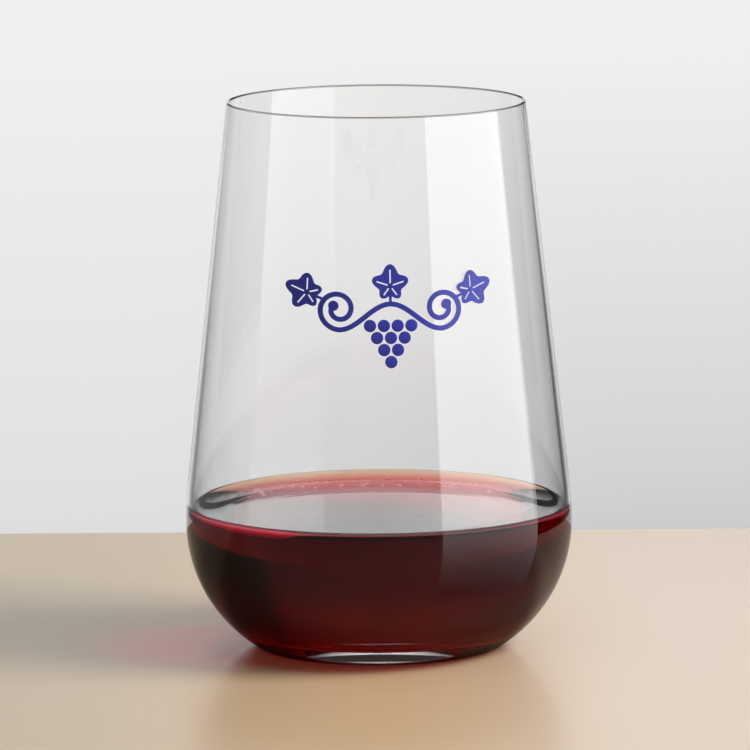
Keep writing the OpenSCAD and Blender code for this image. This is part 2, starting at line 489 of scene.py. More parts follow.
@dataclass
class BowlShape:
    """Side view of the glass: arcs that touch one another. Angles are in degrees."""

    height: float
    bowl_rad: float
    mouth_rad: float = 33.1 * MM
    belly_r: float = 32.5 * MM
    shoulder_r: float = 90 * MM
    heel_r: float = 4 * MM
    heel_angle: float = 57.5
    wall_t: float = 1.4 * MM
    rim_t: float = 0.7 * MM
    floor_t: float = 5.6 * MM
    hollow_r: float = 28 * MM
    corner_r: float = 12 * MM
    land_w: float = 1.2 * MM
    punt_h: float = 0.9 * MM
    long_steps: int = 40
    short_steps: int = 20

    def __post_init__(self) -> None:
        """Works out the centres and angles that follow from the sizes."""
        turn = math.radians(self.heel_angle)
        self.belt_z = self.heel_r + (self.belly_r - self.heel_r) * math.sin(turn)
        self.foot_rad = self.bowl_rad - self.belly_r + (self.belly_r - self.heel_r) * math.cos(turn)
        self.belly_c = (self.bowl_rad - self.belly_r, self.belt_z)
        self.shoulder_c = (self.bowl_rad - self.shoulder_r, self.belt_z)
        self.heel_c = (self.foot_rad, self.heel_r)
        self.rim_c = (self.mouth_rad - self.rim_t / 2, self.height - self.rim_t / 2)
        self.hollow_c = (self.bowl_rad - self.wall_t - self.hollow_r, self.belt_z)
        drop = self.belt_z - self.floor_t - self.corner_r
        reach = self.hollow_r - self.corner_r
        self.corner_angle = math.degrees(math.asin(drop / reach))
        corner_turn = math.radians(self.corner_angle)
        self.corner_c = (self.hollow_c[0] + reach * math.cos(corner_turn), self.floor_t + self.corner_r)
        self.outer_slope = self.wall_slope(self.rim_t / 2, self.shoulder_r)
        self.inner_slope = self.wall_slope(-self.rim_t / 2, self.shoulder_r - self.wall_t)

    def wall_slope(self, rim_r: float, wall_r: float) -> float:
        """Angle of the straight wall that touches rim and shoulder. Inside, the rim's radius is negative."""
        across, up = self.rim_c[0] - self.shoulder_c[0], self.rim_c[1] - self.shoulder_c[1]
        return math.degrees(math.atan2(up, across) - math.acos((wall_r - rim_r) / math.hypot(across, up)))

    def wall_rad(self, z: float, inside: bool) -> float:
        """Radius of the wall above its widest part.

        Args:
            z: Height above the table.
            inside: True for the inside of the wall.

        Returns:
            The radius at that height.
        """
        r = self.shoulder_r - (self.wall_t if inside else 0.0)
        slope = math.radians(self.inner_slope if inside else self.outer_slope)
        turn_z = self.belt_z + r * math.sin(slope)
        if z < turn_z:
            return self.shoulder_c[0] + math.sqrt(r * r - (z - self.belt_z) ** 2)
        return self.shoulder_c[0] + r * math.cos(slope) - (z - turn_z) * math.tan(slope)

    def under_side(self) -> list[Point]:
        """Outline of the hollow under the foot.

        Returns:
            The points from the axis out to the ring that stands.
        """
        land_rad = self.foot_rad - self.land_w
        punt_r = (land_rad ** 2 + self.punt_h ** 2) / (2 * self.punt_h)
        edge_angle = math.degrees(math.asin(land_rad / punt_r))
        return arc((0.0, self.punt_h - punt_r), punt_r, 90, 90 - edge_angle, self.short_steps)

    def outer_wall(self) -> list[Point]:
        """Outline of the outside.

        Returns:
            The points from the ring that stands up to the rim.
        """
        heel = arc(self.heel_c, self.heel_r, -90, -self.heel_angle, self.short_steps)
        belly = arc(self.belly_c, self.belly_r, -self.heel_angle, 0, self.long_steps)
        shoulder = arc(self.shoulder_c, self.shoulder_r, 0, self.outer_slope, self.short_steps)
        rim = arc(self.rim_c, self.rim_t / 2, self.outer_slope, self.inner_slope + 180, self.short_steps)
        return heel + belly[1:] + shoulder[1:] + self.straight(shoulder[-1], rim[0]) + rim

    def inner_wall(self, gap: float) -> list[Point]:
        """Outline of the hollow from the middle of the floor up to the straight wall's end at the rim.

        Args:
            gap: Distance drawn in from the glass, negative into the glass.

        Returns:
            The points from the axis up.
        """
        corner = arc(self.corner_c, self.corner_r - gap, -90, -self.corner_angle, self.short_steps)
        hollow = arc(self.hollow_c, self.hollow_r - gap, -self.corner_angle, 0, self.long_steps)
        wall_r = self.shoulder_r - self.wall_t - gap
        shoulder = arc(self.shoulder_c, wall_r, 0, self.inner_slope, self.short_steps)
        turn = math.radians(self.inner_slope)
        reach = self.rim_t / 2 + gap
        end = (self.rim_c[0] - reach * math.cos(turn), self.rim_c[1] - reach * math.sin(turn))
        floor = [(0.0, self.floor_t + gap)]
        return floor + corner + hollow[1:] + shoulder[1:] + self.straight(shoulder[-1], end) + [end]

    def straight(self, low: Point, high: Point) -> list[Point]:
        """Points inside a straight stretch, so that its faces stay short."""
        return [between(low, high, i / self.short_steps) for i in range(1, self.short_steps)]


@dataclass
class Stretch:
    """Part of an outline, and whether glass and wine touch along it."""

    points: list[Point]
    wetted: bool = False


def braced(outline: list[Point], long: float = 1 * MM, near: float = 0.04 * MM) -> list[Point]:
    """Adds a point close to each end of a long step, which keeps flats flat under smooth shading.

    Args:
        outline: Points of a side view.
        long: Length from which a step is braced.
        near: Distance of the added points from the step's ends.

    Returns:
        The new points, without repeated ones.
    """
    made = [outline[0]]
    for spot in outline[1:]:
        last = made[-1]
        length = math.dist(last, spot)
        if length < SAME_PLACE:
            continue
        if length > long:
            made += [between(last, spot, share) for share in (near / length, 1 - near / length)]
        made.append(spot)
    return made


def revolve(name: str, stretches: list[Stretch], segments: int) -> Object:
    """Turns an outline round the axis into a closed, smooth mesh.

    Args:
        name: Name of the object.
        stretches: Parts of one outline that starts and ends on the axis.
        segments: Number of steps round the axis.

    Returns:
        The object, linked to the scene. Its wetted attribute is 1 on the wetted stretches.
    """
    shape = bmesh.new()
    mark = shape.verts.layers.float.new(WETTED)
    turns = [math.tau * i / segments for i in range(segments)]
    rings = []
    for stretch in stretches:
        for rad, z in braced(stretch.points):
            on_axis = rad < SAME_PLACE
            spots = [(0.0, 0.0, z)] if on_axis else [(rad * math.cos(a), rad * math.sin(a), z) for a in turns]
            rings.append([shape.verts.new(p) for p in spots])
            for vert in rings[-1]:
                vert[mark] = float(stretch.wetted)
    skin(shape, rings)
    bmesh.ops.recalc_face_normals(shape, faces=shape.faces)
    for face in shape.faces:
        face.smooth = True
    return finished(name, shape)


def skin(shape: bmesh.types.BMesh, rings: list[list[bmesh.types.BMVert]], closed: bool = True) -> None:
    """Joins each ring of corners to the next with faces.

    Args:
        shape: Mesh that takes the faces.
        rings: Corners of the rings. A ring on the axis has only one.
        closed: True where a ring's last corner meets its first.
    """
    count = max(len(ring) for ring in rings)
    for low, high in zip(rings, rings[1:]):
        for i in range(count if closed else count - 1):
            j = (i + 1) % count
            corners = [low[i % len(low)], low[j % len(low)], high[j % len(high)], high[i % len(high)]]
            shape.faces.new(list(dict.fromkeys(corners)))


def placed(name: str, data: bpy.types.ID, pose: Matrix = Matrix.Identity(4)) -> Object:
    """Adds an object to the scene.

    Args:
        name: Name of the object.
        data: Its mesh, lamp or camera.
        pose: Its place and the way that it is turned.

    Returns:
        The object.
    """
    added = bpy.data.objects.new(name, data)
    added.matrix_world = pose
    bpy.context.scene.collection.objects.link(added)
    return added


def finished(name: str, shape: bmesh.types.BMesh) -> Object:
    """Makes an object of a bmesh and frees it.

    Args:
        name: Name of the object.
        shape: The bmesh.

    Returns:
        The object, linked to the scene.
    """
    mesh = bpy.data.meshes.new(name)
    shape.to_mesh(mesh)
    shape.free()
    return placed(name, mesh)


def seat(piece: Object, body: Body, material: Material) -> None:
    """Dresses a piece and says where it belongs.

    Args:
        piece: The finished piece.
        body: Body that it rides on.
        material: Its only material.
    """
    piece.data.materials.clear()
    piece.data.materials.append(material)
    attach(piece, body.value)


@dataclass
class Tumbler:
    """The blown glass, wetted on the inside up to the wine's edge."""

    shape: BowlShape
    wine_top: float
    segments: int = 224

    def build(self) -> list[Object]:
        """Builds the glass.

        Returns:
            The one piece.
        """
        inside = self.shape.inner_wall(0.0)[:-1]
        dry = [p for p in inside if p[1] > self.wine_top]
        line = (self.shape.wall_rad(self.wine_top, inside=True), self.wine_top)
        wet = [line] + [p for p in reversed(inside) if p[1] < self.wine_top]
        outside = self.shape.under_side() + self.shape.outer_wall()
        glass = revolve("tumbler_glass", [Stretch(outside + dry[::-1]), Stretch(wet, True)], self.segments)
        seat(glass, Body.TUMBLER, BlownGlass(self.shape.height).material())
        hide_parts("glass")
        return [glass]


@dataclass
class Pour:
    """The wine, which wets the glass and climbs it by a capillary curve."""

    shape: BowlShape
    top_z: float
    climb_h: float = 2.7 * MM
    capillary_l: float = 2.38 * MM
    flat_slope: float = 0.4
    seat_depth: float = 0.06 * MM
    curve_steps: int = 28
    segments: int = 224
    finish: RedWine = RedWine()

    @property
    def level(self) -> float:
        """Height of the flat surface."""
        return self.top_z - self.climb_h

    def climb(self) -> list[Point]:
        """Side view of the climbing edge.

        Returns:
            Distance in from the wall and height above the flat surface, from the wall inwards.
        """
        span = 2 * self.capillary_l

        def away(rise: float) -> float:
            """Distance that the curve takes to sink to a height."""
            return self.capillary_l * math.acosh(span / rise) - math.sqrt(span ** 2 - rise ** 2)

        steepest = 2 * math.asin(self.climb_h / span)
        flattest = math.radians(self.flat_slope)
        turns = [steepest + (flattest - steepest) * i / self.curve_steps for i in range(self.curve_steps + 1)]
        rises = [span * math.sin(turn / 2) for turn in turns]
        return [(away(rise) - away(self.climb_h), rise) for rise in rises]

    def build(self) -> list[Object]:
        """Builds the wine.

        Returns:
            The one piece.
        """
        edge_rad = self.shape.wall_rad(self.top_z, inside=True)
        wetted = [p for p in self.shape.inner_wall(-self.seat_depth) if p[1] < self.top_z - self.seat_depth]
        wetted.append((edge_rad + self.seat_depth, self.top_z - self.seat_depth))
        surface = [(edge_rad - inward, self.level + rise) for inward, rise in self.climb()]
        surface.append((0.0, self.level))
        wine = revolve("wine_pour", [Stretch(wetted, True), Stretch(surface)], self.segments)
        seat(wine, Body.POUR, self.finish.material())
        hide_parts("wine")
        return [wine]


def faded(stops: tuple[Column, ...], steps: int) -> list[Column]:
    """Stops of an azimuth and two values that belong to it, filled in by even steps from each to the next."""
    pairs = list(zip(stops, stops[1:]))
    return [between(first, last, i / steps) for first, last in pairs for i in range(steps)] + [stops[-1]]


@dataclass
class PaintedEdgeBand:
    """Thin band just inside the wine's edge at the front that glows with painted light, for the light that
    gathers in the climbing wine.

    Its stops are the azimuth from the front in degrees, the band's height in mm and its brightness.
    """

    shape: BowlShape
    top_z: float
    front: float
    # Painted light: the glow is brightest at the front left, dim in the middle, and stronger again at the
    # right.
    stops: tuple[Column, ...] = (
        (-80, 0.3, 0.3), (-74, 0.6, 0.6), (-65, 0.9, 0.85), (-55, 1.2, 0.95), (-46, 1.7, 1.0),
        (-31, 1.7, 0.95), (-25, 0.6, 0.75), (-18, 0.35, 0.45), (0, 0.27, 0.34), (20, 0.3, 0.32),
        (40, 0.35, 0.28), (58, 0.6, 0.42), (68, 0.85, 0.5), (76, 0.85, 0.5), (82, 0.3, 0.3),
    )
    below: float = 0.5 * MM
    inset: float = 0.05 * MM
    thick: float = 0.08 * MM
    rows: int = 6
    steps: int = 8
    finish: PaintedEdgeGlow = PaintedEdgeGlow()

    def build(self) -> list[Object]:
        """Builds the band.

        Returns:
            The one piece.
        """
        shape = bmesh.new()
        deep, tone = shape.verts.layers.float.new(DEPTH), shape.verts.layers.float.new(TONE)
        loops = []
        for azimuth, tall, bright in faded(self.stops, self.steps):
            turn = math.radians(azimuth + self.front)
            depths = [tall * i / self.rows for i in range(self.rows + 1)]
            loop = []
            for depth, inward in [(d, 0.0) for d in depths] + [(d, self.thick) for d in reversed(depths)]:
                z = self.top_z - self.below - depth * MM
                rad = self.shape.wall_rad(z, inside=True) - self.inset - inward
                vert = shape.verts.new((rad * math.sin(turn), -rad * math.cos(turn), z))
                vert[deep], vert[tone] = depth, bright
                loop.append(vert)
            loops.append(loop)
        skin(shape, loops)
        shape.faces.new(loops[0])
        shape.faces.new(loops[-1])
        bmesh.ops.recalc_face_normals(shape, faces=shape.faces)
        band = finished("wine_edge", shape)
        seat(band, Body.POUR, self.finish.material())
        return [band]


@dataclass
class Vine:
    """The printed vine: a swag between two scrolls, three leaves and a bunch of grapes."""

    shape: BowlShape
    drop: float = 43 * MM
    proud: float = 0.08 * MM
    sunk: float = 0.02 * MM
    line_w: float = 1.1 * MM
    swag_w: float = 11.2 * MM
    swag_h: float = 2.8 * MM
    scroll_r: float = 4.4 * MM
    scroll_end_r: float = 1.3 * MM
    scroll_turns: float = 1.35
    eye_r: float = 1.1 * MM
    grape_r: float = 1.35 * MM
    grape_gap: float = 0.3 * MM
    grape_rows: int = 4
    row_share: float = math.cos(math.pi / 6)
    bunch_gap: float = 2.8 * MM
    leaf_r: float = 3.9 * MM
    leaf_lobes: int = 5
    lobe_share: float = 0.15
    tip_share: float = 0.2
    vein_w: float = 0.3 * MM
    vein_share: float = 0.74
    stalk_l: float = 1.7 * MM
    stalk_w: float = 0.6 * MM
    leaf_angle: float = 34.0
    leaf_lean: float = 22.0
    leaf_steps: int = 180
    path_steps: int = 60
    grape_segments: int = 32
    grape_rings: int = 16
    strip_w: float = 0.6 * MM
    finish: BlueEnamel = BlueEnamel()

    def scroll_point(self, angle: float) -> Vector:
        """Point of the right scroll's middle line.

        Args:
            angle: Angle in degrees, -90 where the swag ends.

        Returns:
            The point.
        """
        turn = (angle + 90) / 360
        rad = self.scroll_r + (self.scroll_end_r - self.scroll_r) * turn / self.scroll_turns
        way = math.radians(angle)
        return Vector((self.swag_w + rad * math.cos(way), self.scroll_r - self.swag_h + rad * math.sin(way)))

    def half_path(self) -> Line:
        """Middle line of the vine's right half.

        Returns:
            The points from the middle of the swag to the scroll's eye.
        """
        n, curl_n = self.path_steps, 2 * self.path_steps
        swag = [Vector((self.swag_w * i / n, self.swag_h * math.cos(math.pi * i / n))) for i in range(n)]
        curl = [self.scroll_point(-90 + 360 * self.scroll_turns * i / curl_n) for i in range(curl_n + 1)]
        return swag + curl

    def ribbon(self, path: Line) -> Line:
        """Outline of a line of the vine's width.

        Args:
            path: Points of its middle line.

        Returns:
            The points round it.
        """
        left, right = [], []
        for i, spot in enumerate(path):
            way = (path[min(i + 1, len(path) - 1)] - path[max(i - 1, 0)]).normalized()
            side = Vector((-way.y, way.x)) * self.line_w / 2
            left.append(spot + side)
            right.append(spot - side)
        return left + right[::-1]

    def disc(self, centre: Vector, rad: float) -> Line:
        """Outline of a round spot."""
        turns = [math.tau * i / self.path_steps for i in range(self.path_steps)]
        return [centre + rad * Vector((math.cos(a), math.sin(a))) for a in turns]

    def leaf_edge(self, angle: float) -> float:
        """Distance from where a leaf's veins meet to its edge, at an angle in radians from its tip."""
        lobes = 1 - self.lobe_share + self.lobe_share * math.cos(self.leaf_lobes * angle)
        return self.leaf_r * lobes * (1 + self.tip_share * math.cos(angle))

    def leaf(self, start: Vector, lean: float) -> list[list[Line]]:
        """Outlines of a leaf on its stalk.

        Args:
            start: Where the stalk leaves the vine.
            lean: Direction of the stalk, in degrees.

        Returns:
            For the stalk and for the blade, the outer outline and then the outlines of its veins.
        """
        way = Matrix.Rotation(math.radians(lean), 2)
        reach = self.stalk_l + self.leaf_edge(math.pi)

        def place(x: float, y: float, turn: float = 0.0) -> Vector:
            """Point of the leaf by its place from where the veins meet, turned by an angle in radians."""
            return start + way @ (Vector((reach, 0.0)) + Matrix.Rotation(turn, 2) @ Vector((x, y)))

        def bar(near: float, far: float, wide: float, turn: float = 0.0) -> Line:
            """Outline of a straight bar from one distance to another, turned by an angle in radians."""
            corners = ((near, -wide), (far, -wide), (far, wide), (near, wide))
            return [place(x, side / 2, turn) for x, side in corners]

        turns = [math.tau * i / self.leaf_steps for i in range(self.leaf_steps)]
        blade = [[place(self.leaf_edge(a), 0.0, a) for a in turns]]
        half_lobes = self.leaf_lobes // 2
        for k in range(-half_lobes, half_lobes + 1):
            turn = math.tau * k / self.leaf_lobes
            blade.append(bar(self.stalk_w, self.leaf_edge(turn) * self.vein_share, self.vein_w, turn))
        return [[bar(-reach, 0.0, self.stalk_w)], blade]

    def wrap(self, spot: Vector, proud: float) -> Vector:
        """Lays a point of the drawing on the front of the wall.

        Args:
            spot: Point across and above the middle of the drawing.
            proud: Height above the wall, negative into it.

        Returns:
            The point on the wall.
        """
        z = self.shape.height - self.drop + spot.y
        rad = self.shape.wall_rad(z, inside=False)
        deep = math.sqrt(rad ** 2 - spot.x ** 2)
        slope = math.radians(self.shape.outer_slope)
        out = Vector((spot.x / rad * math.cos(slope), -deep / rad * math.cos(slope), math.sin(slope)))
        return Vector((spot.x, -deep, z)) + out * proud

    def relief(self, shape: bmesh.types.BMesh, outlines: list[Line]) -> None:
        """Adds a closed low relief of one flat drawing to a mesh.

        Args:
            shape: Mesh that takes the relief.
            outlines: The outer outline and then its holes.
        """
        flat = bmesh.new()
        spots = [flat.verts.new((p.x, p.y, 0.0)) for line in outlines for p in line]
        for corners in tessellate_polygon([[p.to_3d() for p in line] for line in outlines]):
            flat.faces.new([spots[i] for i in corners])
        low = min(p.x for p in outlines[0])
        high = max(p.x for p in outlines[0])
        for i in range(1, math.ceil((high - low) / self.strip_w)):
            at = Vector((low + i * self.strip_w, 0.0, 0.0))
            parts = list(flat.verts) + list(flat.edges) + list(flat.faces)
            bmesh.ops.bisect_plane(flat, geom=parts, plane_co=at, plane_no=Vector((1.0, 0.0, 0.0)))
        edges = [e for e in flat.edges if e.is_boundary]
        top = {v: shape.verts.new(self.wrap(v.co.xy, self.proud)) for v in flat.verts}
        base = {v: shape.verts.new(self.wrap(v.co.xy, -self.sunk)) for v in flat.verts}
        for face in flat.faces:
            shape.faces.new([top[v] for v in face.verts])
            shape.faces.new([base[v] for v in reversed(face.verts)])
        for edge in edges:
            a, b = edge.verts
            shape.faces.new([top[a], base[a], base[b], top[b]])
        flat.free()

    def drawings(self) -> list[list[Line]]:
        """Every flat drawing of the vine but the grapes.

        Returns:
            For each, its outline and then its holes.
        """
        path = self.half_path()
        flip = Matrix(((-1.0, 0.0), (0.0, 1.0)))
        whole = [flip @ p for p in reversed(path[1:])] + path
        right = [[self.disc(path[-1], self.eye_r)]]
        right += self.leaf(self.scroll_point(self.leaf_angle), self.leaf_lean)
        left = [[[flip @ p for p in line] for line in drawing] for drawing in right]
        return [[self.ribbon(whole)]] + right + left + self.leaf(Vector((0.0, self.swag_h)), lean=90.0)

    def grapes(self) -> GeometryTree:
        """Makes the bunch of grapes: rows of low domes on the wall.

        Returns:
            The tree that makes it.
        """
        middle = self.shape.height - self.drop
        top_row = self.swag_h - self.line_w / 2 - self.bunch_gap - self.grape_r
        tree = GeometryTree("bunch_of_grapes", {
            "Rows": self.grape_rows, "Grape radius": self.grape_r, "Grape gap": self.grape_gap,
            "Dome height": self.proud, "Top row": top_row,
            "Middle height": middle, "Wall radius": self.shape.wall_rad(middle, inside=False),
            "Wall taper": math.tan(math.radians(self.shape.outer_slope)),
        })
        nodes, rows, radius = tree.nodes, tree.given["Rows"], tree.given["Grape radius"]
        # The rows above a row hold row (row + 1) / 2 grapes, which gives a grape's row by its number.
        index = nodes.add("GeometryNodeInputIndex").outputs[0]
        root = nodes.math("SQRT", nodes.plus(nodes.times(index, 8.0), 1.0))
        row = nodes.math("FLOOR", nodes.times(nodes.minus(root, 1.0), 0.5))
        before = nodes.times(row, nodes.plus(row, 1.0), 0.5)
        place = nodes.minus(nodes.minus(index, before), nodes.times(row, 0.5))
        pitch = nodes.plus(nodes.times(radius, 2.0), tree.given["Grape gap"])
        below = nodes.minus(nodes.minus(rows, 1.0), row)
        up = nodes.minus(tree.given["Top row"], nodes.times(below, nodes.times(pitch, self.row_share)))
        count = nodes.times(rows, nodes.plus(rows, 1.0), 0.5)
        spots = tree.points(count, nodes.vector(nodes.times(place, pitch), 0.0, up))
        low = nodes.math("DIVIDE", tree.given["Dome height"], radius)
        ball = tree.ball(self.grape_segments, self.grape_rings, radius)
        dome = tree.scaled(ball, nodes.vector(1.0, low, 1.0))
        copies = nodes.add("GeometryNodeInstanceOnPoints", {"Points": spots, "Instance": dome}).outputs[0]
        real = nodes.add("GeometryNodeRealizeInstances", {0: copies}).outputs[0]
        x, y, z = nodes.split(nodes.add("GeometryNodeInputPosition").outputs[0])
        wall = nodes.minus(tree.given["Wall radius"], nodes.times(z, tree.given["Wall taper"]))
        deep = nodes.math("SQRT", nodes.minus(nodes.times(wall, wall), nodes.times(x, x)))
        laid = nodes.vector(x, nodes.minus(y, deep), nodes.plus(z, tree.given["Middle height"]))
        tree.close(tree.moved(real, laid))
        return tree

    def build(self) -> list[Object]:
        """Builds the print.

        Returns:
            The vine's line, eyes and leaves as one piece, and the grapes.
        """
        shape = bmesh.new()
        for drawing in self.drawings():
            self.relief(shape, drawing)
        bmesh.ops.recalc_face_normals(shape, faces=shape.faces)
        enamel = self.finish.material()
        pieces = [finished("enamel_vine", shape), self.grapes().piece("enamel_grapes", enamel)]
        for piece in pieces:
            seat(piece, Body.TUMBLER, enamel)
            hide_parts("print")
        return pieces


@dataclass
class Bubbles:
    """Small bubbles that the pouring left along the far edge of the wine's surface."""

    edge_rad: float
    level: float
    count: int = 220
    start: float = 32.0
    end: float = 150.0
    nearest: float = 0.9 * MM
    spread: float = 7.0 * MM
    small: float = 0.2 * MM
    large: float = 0.6 * MM
    film_share: float = 0.12
    squash: float = 0.8
    drift_power: float = 2.5
    size_power: float = 2.0
    segments: int = 10
    rings: int = 6
    seed: int = 11
    finish: BubbleFilm = BubbleFilm()

    def build(self) -> list[Object]:
        """Builds the bubbles.

        Returns:
            The one piece.
        """
        tree = GeometryTree("edge_bubbles", {
            "Count": self.count, "Edge radius": self.edge_rad - self.nearest, "Spread": self.spread,
            "Level": self.level, "Film share": self.film_share, "Squash": self.squash,
            "First angle": math.radians(self.start), "Last angle": math.radians(self.end),
            "Smallest": self.small, "Largest": self.large,
        })
        nodes, given = tree.nodes, tree.given

        def chance(low: Value, high: Value, step: int) -> Socket:
            """Adds a random number between two values for each point, with a seed of its own."""
            inputs = {2: low, 3: high, "Seed": self.seed + step}
            return nodes.add("FunctionNodeRandomValue", inputs, data_type="FLOAT").outputs[1]

        angle = chance(given["First angle"], given["Last angle"], 0)
        drift = nodes.math("POWER", chance(0.0, 1.0, 1), self.drift_power)
        rad = nodes.minus(given["Edge radius"], nodes.times(drift, given["Spread"]))
        across, along = (nodes.times(rad, nodes.math(side, angle)) for side in ("COSINE", "SINE"))
        spots = tree.points(given["Count"], nodes.vector(across, along, given["Level"]))
        share = nodes.math("POWER", chance(0.0, 1.0, 2), self.size_power)
        span = nodes.minus(given["Largest"], given["Smallest"])
        size = nodes.plus(given["Smallest"], nodes.times(share, span))
        inner = tree.ball(self.segments, self.rings, nodes.minus(1.0, given["Film share"]))
        both = nodes.add("GeometryNodeJoinGeometry", {0: tree.ball(self.segments, self.rings, 1.0)})
        nodes.tree.links.new(nodes.add("GeometryNodeFlipFaces", {0: inner}).outputs[0], both.inputs[0])
        shell = tree.scaled(both.outputs[0], nodes.vector(1.0, 1.0, given["Squash"]))
        tree.close(nodes.add("GeometryNodeInstanceOnPoints", {
            "Points": spots, "Instance": shell, "Scale": nodes.vector(size, size, size),
        }).outputs[0])
        film = self.finish.material()
        bubbles = tree.piece("wine_bubbles", film)
        seat(bubbles, Body.POUR, film)
        return [bubbles]


@dataclass
class Viewpoint:
    """The camera, fitted to the photograph: angles in degrees, pixels in its 750 by 750 frame."""

    distance: float = 1.5
    height: float = 0.288
    turn: float = 4.3
    pitch: float = 8.62
    roll: float = 0.41
    frame_px: float = 750.0
    focal_px: float = 6826.0
    aside_px: float = 3.0
    sensor: float = 36.0
    clip: Point = (0.01, 100.0)

    @property
    def ahead(self) -> Vector:
        """Level direction from the camera to the glass."""
        turn = math.radians(self.turn)
        return Vector((math.sin(turn), math.cos(turn), 0.0))

    def beside(self, azimuth: float) -> Vector:
        """Level direction from the glass, by its angle in degrees from the camera to the camera's right."""
        return Matrix.Rotation(math.radians(azimuth), 3, "Z") @ -self.ahead

    def build(self) -> None:
        """Builds the camera and makes it the scene's own."""
        pitch = math.radians(self.pitch)
        level = Matrix.Rotation(self.aside_px / self.focal_px, 3, "Z") @ self.ahead
        right = Vector((level.y, -level.x, 0.0))
        look = level * math.cos(pitch) - Vector((0.0, 0.0, math.sin(pitch)))
        lens = bpy.data.cameras.new("camera")
        lens.sensor_width = self.sensor
        lens.lens = self.sensor * self.focal_px / self.frame_px
        lens.clip_start, lens.clip_end = self.clip
        turned = Matrix((right, right.cross(look), -look)).transposed()
        turned @= Matrix.Rotation(-math.radians(self.roll), 3, "Z")
        place = Vector((0.0, 0.0, self.height)) - self.ahead * self.distance
        bpy.context.scene.camera = placed("camera", lens, Matrix.Translation(place) @ turned.to_4x4())


@dataclass(frozen=True)
class FloorFinish:
    """Plain pale floor: warm and satin as far as a back edge, and pale grey past it. Both are painted with
    light and shade: the warm is darker to the left, a deeper tan in the middle, where the glass hides the
    floor's sheen, and lighter to the right, toward the lamps; the grey is paler far off and to the left.

    The grey is seen as written. Beside the glass the warm is painted with a shadow tinted pink by the red
    light through the wine, and round its foot with a deeper one: each is a colour, its centre and the two
    radii between which it fades.
    Mirrored by the outside of the glass the floor is painted dimmer, and in front it glows a faint cool tone:
    painted reflection.
    """

    # Painted light and shade: darker to the left, a deeper tan in the middle, lighter to the right.
    warm_left: Colour = (199, 177, 146)
    warm: Colour = (226, 191, 150)
    warm_right: Colour = (227, 208, 188)
    # Painted light on the grey: paler to the left and far off.
    grey_left: Colour = (221, 221, 221)
    grey_right: Colour = (202, 202, 202)
    far_grey: Colour = (240, 240, 240)
    half_w: float = 0.07
    edge: float = 0.145
    edge_blur: float = 0.001
    far: float = 1.3
    fade_power: float = 0.6
    roughness: float = 0.3
    turn: float = 4.3
    shade: float = 0.75
    back_shade: float = 0.36
    back_blur: float = 0.01
    # Painted reflection: a faint cool glow that the glass mirrors in front of it.
    cool: Colour = (238, 238, 255)
    cool_strength: float = 0.15
    cool_from: Point = (0.02, 0.06)
    # Painted shadows, tinted by the red light through the wine: colour, centre and the radii of the fade.
    painted_shadows: tuple[tuple[Colour, Point, Point], ...] = (
        ((245, 157, 140), (-0.035, -0.001), (0.010, 0.036)),
        ((208, 124, 100), (-0.007, -0.003), (0.027, 0.035)),
    )

    def material(self) -> Material:
        """Builds the material.

        Returns:
            The material.
        """
        nodes = MaterialMaker("pale_floor")
        turn = (0.0, 0.0, math.radians(self.turn))
        place = nodes.add("ShaderNodeMapping", {"Vector": nodes.place(), "Rotation": turn}).outputs[0]
        across, back, _ = nodes.split(place)
        away = nodes.math("POWER", nodes.ramp(back, self.edge, self.far, "LINEAR"), self.fade_power)
        near = nodes.mix(nodes.ramp(across, -self.half_w, self.half_w), self.grey_left, self.grey_right)
        grey = nodes.mix(away, near, self.far_grey)
        warm = nodes.mix(nodes.ramp(across, -self.half_w, 0.0), self.warm_left, self.warm)
        warm = nodes.mix(nodes.ramp(across, 0.0, self.half_w), warm, self.warm_right)
        # Paints the shadows into the warm colour.
        for colour, at, rads in self.painted_shadows:
            apart = nodes.add("ShaderNodeVectorMath", {0: place, 1: (*at, 0.0)}, operation="DISTANCE")
            spot = nodes.minus(1.0, nodes.ramp(apart.outputs["Value"], *rads))
            warm = nodes.mix(spot, warm, colour)
        past = nodes.ramp(back, self.edge, self.edge + self.edge_blur)
        colour = nodes.mix(past, warm, grey)
        ahead = nodes.ramp(nodes.minus(0.0, back), *self.cool_from)
        faint = {"Color": srgb(self.cool), "Strength": nodes.times(ahead, self.cool_strength)}
        behind = nodes.ramp(back, -self.back_blur, self.back_blur)
        shade = nodes.minus(self.shade, nodes.times(behind, self.shade - self.back_shade))
        path = nodes.add("ShaderNodeLightPath").outputs
        outside = nodes.math("LESS_THAN", path["Transmission Depth"], ONE_BOUNCE)
        # Painted reflection: in gloss off the glass the floor is dimmed, and in front it gives way to the
        # cool glow.
        dimmed = nodes.blend(
            nodes.times(path[Ray.GLOSSY.value], outside, shade),
            nodes.surface({"Base Color": colour, "Roughness": self.roughness}),
            nodes.add("ShaderNodeEmission", faint).outputs[0],
        )
        plain = nodes.add("ShaderNodeEmission", {"Color": grey}).outputs[0]
        return nodes.shown(nodes.blend(nodes.times(past, nodes.seen_as_written()), dimmed, plain))


